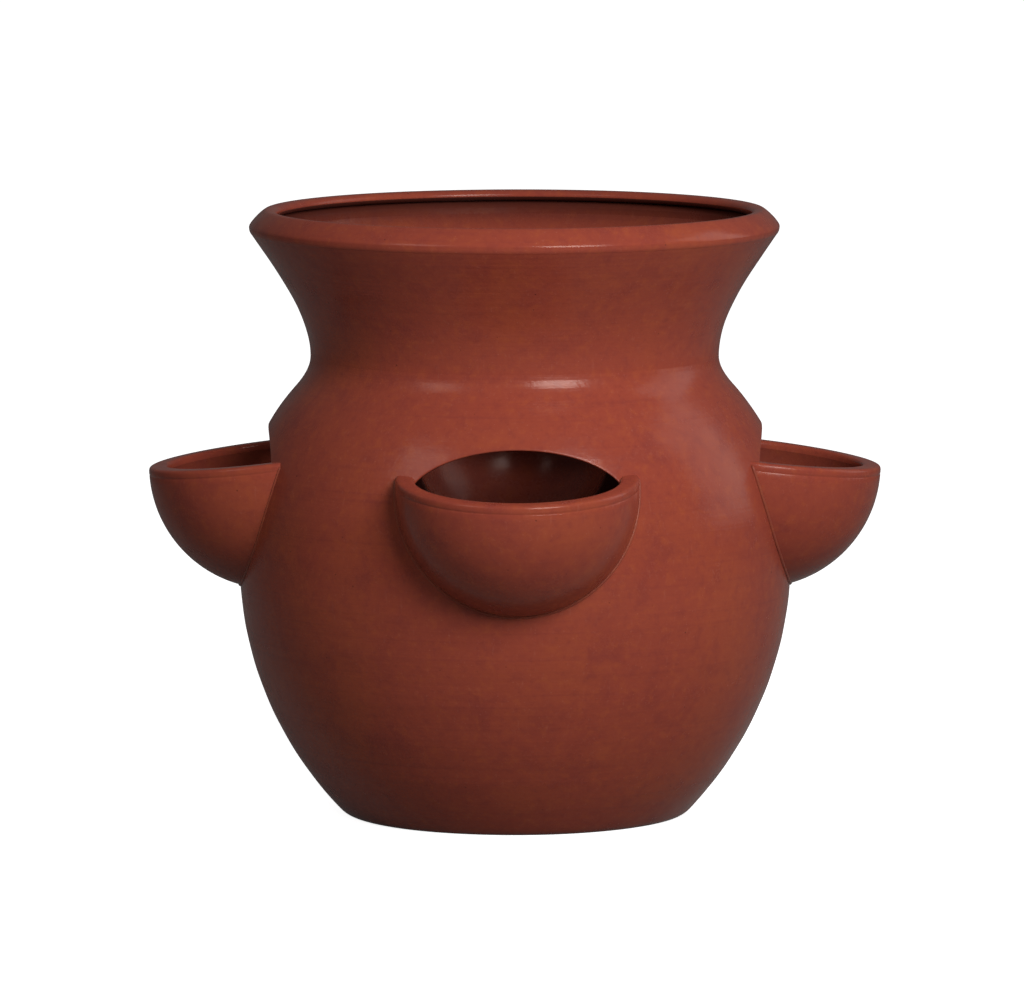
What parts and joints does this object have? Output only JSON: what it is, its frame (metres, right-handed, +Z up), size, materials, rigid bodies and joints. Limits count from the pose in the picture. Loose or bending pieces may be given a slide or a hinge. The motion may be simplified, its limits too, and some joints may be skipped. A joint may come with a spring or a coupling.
{
  "type": "strawberry jar planter",
  "caption": "Fired-clay strawberry jar planter: round belly, pinched waist, flared neck with a rolled rim, half-bowl planting pockets on the shoulder and a drain hole in the floor.",
  "frame": {"origin": "middle of the underside, on the ground", "axes": "+Z up along the jar's axis; the front pocket faces -Y, the right pocket +X"},
  "size_m": [0.3588, 0.3588, 0.2976],
  "materials": {
    "jar_clay": "satin",
    "pocket_clay": "satin",
    "slip": "matte"
  },
  "bodies": {
    "root": {"floor_slab": "jar_clay", "foot_wall": "jar_clay", "belly_wall": "jar_clay", "shoulder_wall": "jar_clay", "neck_collar": "jar_clay", "rim_coil": "jar_clay", "pocket_front": "pocket_clay", "luting_front": "slip", "pocket_right": "pocket_clay", "luting_right": "slip", "pocket_back": "pocket_clay", "luting_back": "slip", "pocket_left": "pocket_clay", "luting_left": "slip"}
  },
  "joints": []
}
